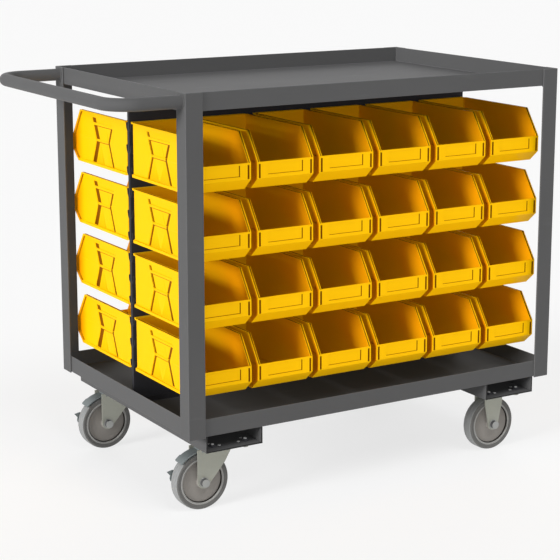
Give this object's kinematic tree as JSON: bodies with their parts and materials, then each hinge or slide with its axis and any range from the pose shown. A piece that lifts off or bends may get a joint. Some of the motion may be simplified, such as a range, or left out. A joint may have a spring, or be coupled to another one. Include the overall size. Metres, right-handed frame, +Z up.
{
  "type": "mobile bin cart",
  "caption": "Steel bin cart: two lipped trays, a two-sided louvered panel with hook-on bins, a tubular push handle, braked swivel casters and rigid casters.",
  "frame": {"origin": "on the floor under the middle of the whole outline, handle included", "axes": "+X away from the push handle, +Y from the front to the back, +Z up"},
  "size_m": [1.0694, 0.6096, 0.8665],
  "materials": {
    "frame_paint": "satin powder coat",
    "panel_paint": "satin powder coat",
    "caster_zinc": "dull zinc plate",
    "bolt_zinc": "zinc plate",
    "wheel_core": "moulded nylon",
    "tyre": "grey non-marking rubber",
    "bin_yellow": "moulded polypropylene"
  },
  "bodies": {
    "cart_frame": {"post_front_left": "frame_paint", "post_front_right": "frame_paint", "post_rear_left": "frame_paint", "post_rear_right": "frame_paint", "top_tray": "frame_paint", "bottom_tray": "frame_paint", "push_handle": "frame_paint", "louver_panel_front": "panel_paint", "louver_panel_rear": "panel_paint", "channel_left": "frame_paint", "channel_right": "frame_paint", "caster_bolts": "bolt_zinc", "swivel_plate_front": "caster_zinc", "swivel_plate_rear": "caster_zinc", "kingpins": "bolt_zinc", "rigid_fork_front": "caster_zinc", "rigid_fork_rear": "caster_zinc", "rigid_axles": "bolt_zinc"},
    "swivel_front": {"swivel_fork_front": "caster_zinc", "swivel_axle_front": "bolt_zinc"},
    "brake_front": {"brake_pedal_front": "caster_zinc"},
    "swivel_wheel_front": {"swivel_core_front": "wheel_core", "swivel_tyre_front": "tyre"},
    "rigid_wheel_front": {"rigid_core_front": "wheel_core", "rigid_tyre_front": "tyre"},
    "swivel_rear": {"swivel_fork_rear": "caster_zinc", "swivel_axle_rear": "bolt_zinc"},
    "brake_rear": {"brake_pedal_rear": "caster_zinc"},
    "swivel_wheel_rear": {"swivel_core_rear": "wheel_core", "swivel_tyre_rear": "tyre"},
    "rigid_wheel_rear": {"rigid_core_rear": "wheel_core", "rigid_tyre_rear": "tyre"},
    "bin_front_r1c1": {"bin_front_r1c1": "bin_yellow"},
    "bin_front_r1c2": {"bin_front_r1c2": "bin_yellow"},
    "bin_front_r1c3": {"bin_front_r1c3": "bin_yellow"},
    "bin_front_r1c4": {"bin_front_r1c4": "bin_yellow"},
    "bin_front_r1c5": {"bin_front_r1c5": "bin_yellow"},
    "bin_front_r1c6": {"bin_front_r1c6": "bin_yellow"},
    "bin_front_r2c1": {"bin_front_r2c1": "bin_yellow"},
    "bin_front_r2c2": {"bin_front_r2c2": "bin_yellow"},
    "bin_front_r2c3": {"bin_front_r2c3": "bin_yellow"},
    "bin_front_r2c4": {"bin_front_r2c4": "bin_yellow"},
    "bin_front_r2c5": {"bin_front_r2c5": "bin_yellow"},
    "bin_front_r2c6": {"bin_front_r2c6": "bin_yellow"},
    "bin_front_r3c1": {"bin_front_r3c1": "bin_yellow"},
    "bin_front_r3c2": {"bin_front_r3c2": "bin_yellow"},
    "bin_front_r3c3": {"bin_front_r3c3": "bin_yellow"},
    "bin_front_r3c4": {"bin_front_r3c4": "bin_yellow"},
    "bin_front_r3c5": {"bin_front_r3c5": "bin_yellow"},
    "bin_front_r3c6": {"bin_front_r3c6": "bin_yellow"},
    "bin_front_r4c1": {"bin_front_r4c1": "bin_yellow"},
    "bin_front_r4c2": {"bin_front_r4c2": "bin_yellow"},
    "bin_front_r4c3": {"bin_front_r4c3": "bin_yellow"},
    "bin_front_r4c4": {"bin_front_r4c4": "bin_yellow"},
    "bin_front_r4c5": {"bin_front_r4c5": "bin_yellow"},
    "bin_front_r4c6": {"bin_front_r4c6": "bin_yellow"},
    "bins_rear_r1": {"bins_rear_r1": "bin_yellow"},
    "bins_rear_r2": {"bins_rear_r2": "bin_yellow"},
    "bins_rear_r3": {"bins_rear_r3": "bin_yellow"},
    "bins_rear_r4": {"bins_rear_r4": "bin_yellow"}
  },
  "joints": [
    {"name": "swivel_front_turn", "type": "hinge", "parent": "cart_frame", "child": "swivel_front", "pos_m": [-0.2742, -0.2278, 0.125], "axis": [0, 0, 1], "continuous": true},
    {"name": "swivel_wheel_front_roll", "type": "hinge", "parent": "swivel_front", "child": "swivel_wheel_front", "pos_m": [-0.3162, -0.2278, 0.0605], "axis": [0, 1, 0], "continuous": true},
    {"name": "brake_front_press", "type": "hinge", "parent": "swivel_front", "child": "brake_front", "pos_m": [-0.3182, -0.2278, 0.126], "axis": [0, 1, 0], "range_deg": [-2.5, 12]},
    {"name": "rigid_wheel_front_roll", "type": "hinge", "parent": "cart_frame", "child": "rigid_wheel_front", "pos_m": [0.4292, -0.2278, 0.0605], "axis": [0, 1, 0], "continuous": true},
    {"name": "swivel_rear_turn", "type": "hinge", "parent": "cart_frame", "child": "swivel_rear", "pos_m": [-0.2742, 0.2278, 0.125], "axis": [0, 0, 1], "continuous": true},
    {"name": "swivel_wheel_rear_roll", "type": "hinge", "parent": "swivel_rear", "child": "swivel_wheel_rear", "pos_m": [-0.3162, 0.2278, 0.0605], "axis": [0, 1, 0], "continuous": true},
    {"name": "brake_rear_press", "type": "hinge", "parent": "swivel_rear", "child": "brake_rear", "pos_m": [-0.3182, 0.2278, 0.126], "axis": [0, 1, 0], "range_deg": [-2.5, 12]},
    {"name": "rigid_wheel_rear_roll", "type": "hinge", "parent": "cart_frame", "child": "rigid_wheel_rear", "pos_m": [0.4292, 0.2278, 0.0605], "axis": [0, 1, 0], "continuous": true},
    {"name": "bin_front_r1c1_lift", "type": "slide", "parent": "cart_frame", "child": "bin_front_r1c1", "axis": [0, 0, 1], "range_m": [0, 0.018]},
    {"name": "bin_front_r1c2_lift", "type": "slide", "parent": "cart_frame", "child": "bin_front_r1c2", "axis": [0, 0, 1], "range_m": [0, 0.018]},
    {"name": "bin_front_r1c3_lift", "type": "slide", "parent": "cart_frame", "child": "bin_front_r1c3", "axis": [0, 0, 1], "range_m": [0, 0.018]},
    {"name": "bin_front_r1c4_lift", "type": "slide", "parent": "cart_frame", "child": "bin_front_r1c4", "axis": [0, 0, 1], "range_m": [0, 0.018]},
    {"name": "bin_front_r1c5_lift", "type": "slide", "parent": "cart_frame", "child": "bin_front_r1c5", "axis": [0, 0, 1], "range_m": [0, 0.018]},
    {"name": "bin_front_r1c6_lift", "type": "slide", "parent": "cart_frame", "child": "bin_front_r1c6", "axis": [0, 0, 1], "range_m": [0, 0.018]},
    {"name": "bin_front_r2c1_lift", "type": "slide", "parent": "cart_frame", "child": "bin_front_r2c1", "axis": [0, 0, 1], "range_m": [0, 0.018]},
    {"name": "bin_front_r2c2_lift", "type": "slide", "parent": "cart_frame", "child": "bin_front_r2c2", "axis": [0, 0, 1], "range_m": [0, 0.018]},
    {"name": "bin_front_r2c3_lift", "type": "slide", "parent": "cart_frame", "child": "bin_front_r2c3", "axis": [0, 0, 1], "range_m": [0, 0.018]},
    {"name": "bin_front_r2c4_lift", "type": "slide", "parent": "cart_frame", "child": "bin_front_r2c4", "axis": [0, 0, 1], "range_m": [0, 0.018]},
    {"name": "bin_front_r2c5_lift", "type": "slide", "parent": "cart_frame", "child": "bin_front_r2c5", "axis": [0, 0, 1], "range_m": [0, 0.018]},
    {"name": "bin_front_r2c6_lift", "type": "slide", "parent": "cart_frame", "child": "bin_front_r2c6", "axis": [0, 0, 1], "range_m": [0, 0.018]},
    {"name": "bin_front_r3c1_lift", "type": "slide", "parent": "cart_frame", "child": "bin_front_r3c1", "axis": [0, 0, 1], "range_m": [0, 0.018]},
    {"name": "bin_front_r3c2_lift", "type": "slide", "parent": "cart_frame", "child": "bin_front_r3c2", "axis": [0, 0, 1], "range_m": [0, 0.018]},
    {"name": "bin_front_r3c3_lift", "type": "slide", "parent": "cart_frame", "child": "bin_front_r3c3", "axis": [0, 0, 1], "range_m": [0, 0.018]},
    {"name": "bin_front_r3c4_lift", "type": "slide", "parent": "cart_frame", "child": "bin_front_r3c4", "axis": [0, 0, 1], "range_m": [0, 0.018]},
    {"name": "bin_front_r3c5_lift", "type": "slide", "parent": "cart_frame", "child": "bin_front_r3c5", "axis": [0, 0, 1], "range_m": [0, 0.018]},
    {"name": "bin_front_r3c6_lift", "type": "slide", "parent": "cart_frame", "child": "bin_front_r3c6", "axis": [0, 0, 1], "range_m": [0, 0.018]},
    {"name": "bin_front_r4c1_lift", "type": "slide", "parent": "cart_frame", "child": "bin_front_r4c1", "axis": [0, 0, 1], "range_m": [0, 0.018]},
    {"name": "bin_front_r4c2_lift", "type": "slide", "parent": "cart_frame", "child": "bin_front_r4c2", "axis": [0, 0, 1], "range_m": [0, 0.018]},
    {"name": "bin_front_r4c3_lift", "type": "slide", "parent": "cart_frame", "child": "bin_front_r4c3", "axis": [0, 0, 1], "range_m": [0, 0.018]},
    {"name": "bin_front_r4c4_lift", "type": "slide", "parent": "cart_frame", "child": "bin_front_r4c4", "axis": [0, 0, 1], "range_m": [0, 0.018]},
    {"name": "bin_front_r4c5_lift", "type": "slide", "parent": "cart_frame", "child": "bin_front_r4c5", "axis": [0, 0, 1], "range_m": [0, 0.018]},
    {"name": "bin_front_r4c6_lift", "type": "slide", "parent": "cart_frame", "child": "bin_front_r4c6", "axis": [0, 0, 1], "range_m": [0, 0.018]},
    {"name": "bins_rear_r1_lift", "type": "slide", "parent": "cart_frame", "child": "bins_rear_r1", "axis": [0, 0, 1], "range_m": [0, 0.018]},
    {"name": "bins_rear_r2_lift", "type": "slide", "parent": "cart_frame", "child": "bins_rear_r2", "axis": [0, 0, 1], "range_m": [0, 0.018]},
    {"name": "bins_rear_r3_lift", "type": "slide", "parent": "cart_frame", "child": "bins_rear_r3", "axis": [0, 0, 1], "range_m": [0, 0.018]},
    {"name": "bins_rear_r4_lift", "type": "slide", "parent": "cart_frame", "child": "bins_rear_r4", "axis": [0, 0, 1], "range_m": [0, 0.018]}
  ]
}
